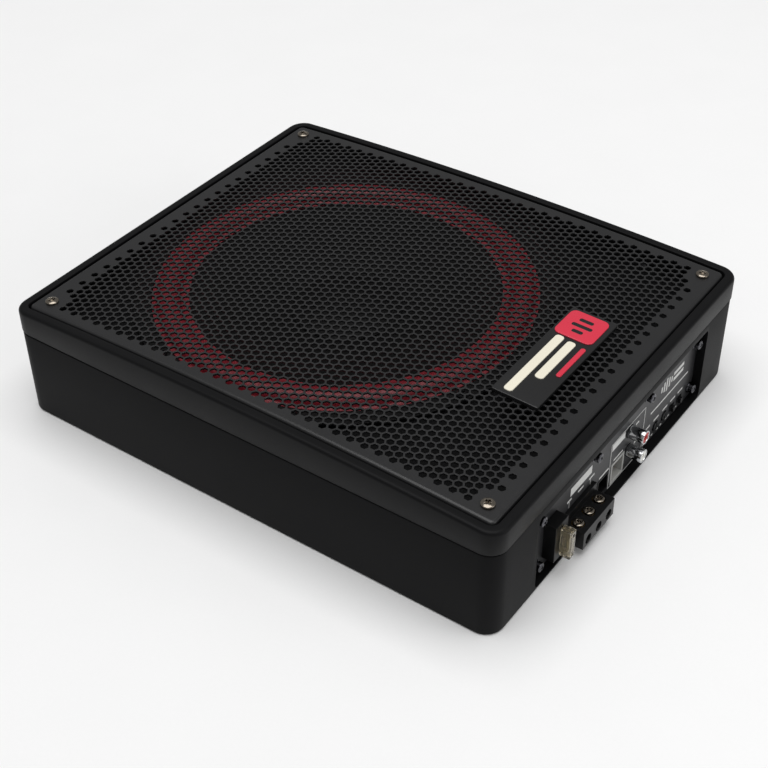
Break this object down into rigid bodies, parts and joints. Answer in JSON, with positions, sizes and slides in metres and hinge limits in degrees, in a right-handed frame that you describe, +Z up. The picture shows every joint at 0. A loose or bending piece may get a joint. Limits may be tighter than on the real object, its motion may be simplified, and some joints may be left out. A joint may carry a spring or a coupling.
{
  "type": "powered car subwoofer",
  "caption": "Slim under-seat powered subwoofer: crowned grille over a shallow woofer, built-in amplifier with terminals and controls in an end bay.",
  "frame": {"origin": "centre of the enclosure's plan, on the face it rests on", "axes": "+X towards the end with the connections and controls, +Z up through the grille"},
  "size_m": [0.3425, 0.274, 0.0784],
  "materials": {
    "enclosure_plastic": "fine moulded grain",
    "lid_plastic": "fine moulded grain",
    "grille_paint": "powder coat, satin",
    "foam_rubber": "closed-cell foam",
    "nickel_screw": "nickel plate",
    "black_screw": "black oxide",
    "badge_black": "satin",
    "badge_red": "satin",
    "badge_cream": "satin",
    "brass_plate": "stamped",
    "basket_steel": "powder coat",
    "surround_rubber": "moulded, satin",
    "cone_pulp": "pressed, matte",
    "former_kapton": "film",
    "copper_wire": "enamelled copper wire",
    "spider_cloth": "resin-treated weave",
    "zinc_steel": "zinc or nickel plate",
    "ferrite": "ground ferrite",
    "panel_paint": "powder coat",
    "board_fibreglass": "solder mask",
    "heat_sink_aluminium": "extruded",
    "component_black": "moulded epoxy",
    "transformer_wrap": "tape",
    "black_nylon": "moulded nylon",
    "clear_plastic": "clear polycarbonate",
    "grey_nylon": "moulded nylon",
    "red_plastic": "moulded",
    "white_plastic": "moulded",
    "light_lens": "clear lens"
  },
  "bodies": {
    "enclosure": {"base_enclosure": "enclosure_plastic", "top_frame": "lid_plastic", "grille": "grille_paint", "seam_gasket": "foam_rubber", "basket_gasket": "foam_rubber", "panel_gasket": "foam_rubber", "grille_screws": "nickel_screw", "lid_screws": "black_screw", "woofer_screws": "black_screw", "panel_screws": "black_screw", "badge_plate": "badge_black", "badge_emblem": "badge_red", "badge_bars": "badge_cream", "bracket_inserts": "brass_plate", "terminal_plates": "brass_plate", "fuse_contacts": "brass_plate", "socket_pins": "brass_plate", "lead_terminals": "brass_plate", "basket": "basket_steel", "surround": "surround_rubber", "inductor": "copper_wire", "spider": "spider_cloth", "top_plate": "zinc_steel", "yoke": "zinc_steel", "rca_shells": "zinc_steel", "magnet": "ferrite", "amp_panel": "panel_paint", "circuit_board": "board_fibreglass", "heat_sink": "heat_sink_aluminium", "transistors": "component_black", "capacitors": "component_black", "pot_bodies": "component_black", "transformer": "transformer_wrap", "terminal_block": "black_nylon", "fuse_holder": "black_nylon", "remote_port": "black_nylon", "rca_frame": "black_nylon", "speaker_socket": "grey_nylon", "switch_bodies": "grey_nylon", "rca_insert_red": "red_plastic", "rca_insert_white": "white_plastic", "power_light": "light_lens"},
    "woofer_cone": {"cone": "cone_pulp", "dust_cap": "cone_pulp", "coil_former": "former_kapton", "voice_coil": "copper_wire"},
    "clamp_pad_1": {"clamp_pad_1": "zinc_steel"},
    "clamp_pad_2": {"clamp_pad_2": "zinc_steel"},
    "clamp_pad_3": {"clamp_pad_3": "zinc_steel"},
    "clamp_screw_1": {"clamp_screw_1": "nickel_screw"},
    "clamp_screw_2": {"clamp_screw_2": "nickel_screw"},
    "clamp_screw_3": {"clamp_screw_3": "nickel_screw"},
    "fuse": {"fuse_body": "clear_plastic", "fuse_blades": "zinc_steel"},
    "pot_knob_1": {"pot_knob_1": "black_nylon"},
    "pot_knob_2": {"pot_knob_2": "black_nylon"},
    "pot_knob_3": {"pot_knob_3": "black_nylon"},
    "switch_lever_1": {"switch_lever_1": "black_nylon"},
    "switch_lever_2": {"switch_lever_2": "black_nylon"}
  },
  "joints": [
    {"name": "cone_travel", "type": "slide", "parent": "enclosure", "child": "woofer_cone", "axis": [0, 0, 1], "range_m": [-0.004, 0.004], "stiffness_N_per_m": 2500, "deforming": ["surround", "spider"]},
    {"name": "clamp_pad_1_travel", "type": "slide", "parent": "enclosure", "child": "clamp_pad_1", "axis": [0, 0, -1], "range_m": [0, 0.0014]},
    {"name": "clamp_pad_2_travel", "type": "slide", "parent": "enclosure", "child": "clamp_pad_2", "axis": [0, 0, -1], "range_m": [0, 0.0014]},
    {"name": "clamp_pad_3_travel", "type": "slide", "parent": "enclosure", "child": "clamp_pad_3", "axis": [0, 0, -1], "range_m": [0, 0.0014]},
    {"name": "clamp_screw_1_turn", "type": "hinge", "parent": "clamp_pad_1", "child": "clamp_screw_1", "pos_m": [0.1681, -0.0538, 0.0176], "axis": [0, 0, -1], "range_deg": [0, 720]},
    {"name": "clamp_screw_2_turn", "type": "hinge", "parent": "clamp_pad_2", "child": "clamp_screw_2", "pos_m": [0.1681, -0.0425, 0.0176], "axis": [0, 0, -1], "range_deg": [0, 720]},
    {"name": "clamp_screw_3_turn", "type": "hinge", "parent": "clamp_pad_3", "child": "clamp_screw_3", "pos_m": [0.1681, -0.0312, 0.0176], "axis": [0, 0, -1], "range_deg": [0, 720]},
    {"name": "fuse_pull", "type": "slide", "parent": "enclosure", "child": "fuse", "axis": [1, 0, 0], "range_m": [0, 0.01]},
    {"name": "pot_1_turn", "type": "hinge", "parent": "enclosure", "child": "pot_knob_1", "pos_m": [0.16, 0.0407, 0.0091], "axis": [1, 0, 0], "range_deg": [-150, 150]},
    {"name": "pot_2_turn", "type": "hinge", "parent": "enclosure", "child": "pot_knob_2", "pos_m": [0.16, 0.0517, 0.0091], "axis": [1, 0, 0], "range_deg": [-150, 150]},
    {"name": "pot_3_turn", "type": "hinge", "parent": "enclosure", "child": "pot_knob_3", "pos_m": [0.16, 0.063, 0.0091], "axis": [1, 0, 0], "range_deg": [-150, 150]},
    {"name": "switch_1_slide", "type": "slide", "parent": "enclosure", "child": "switch_lever_1", "axis": [0, 1, 0], "range_m": [0, 0.002]},
    {"name": "switch_2_slide", "type": "slide", "parent": "enclosure", "child": "switch_lever_2", "axis": [0, 1, 0], "range_m": [0, 0.002]}
  ],
  "couplings": [
    {"joint": "clamp_screw_1_turn", "follows": "clamp_pad_1_travel", "rad_per_m": 8976},
    {"joint": "clamp_screw_2_turn", "follows": "clamp_pad_2_travel", "rad_per_m": 8976},
    {"joint": "clamp_screw_3_turn", "follows": "clamp_pad_3_travel", "rad_per_m": 8976}
  ]
}
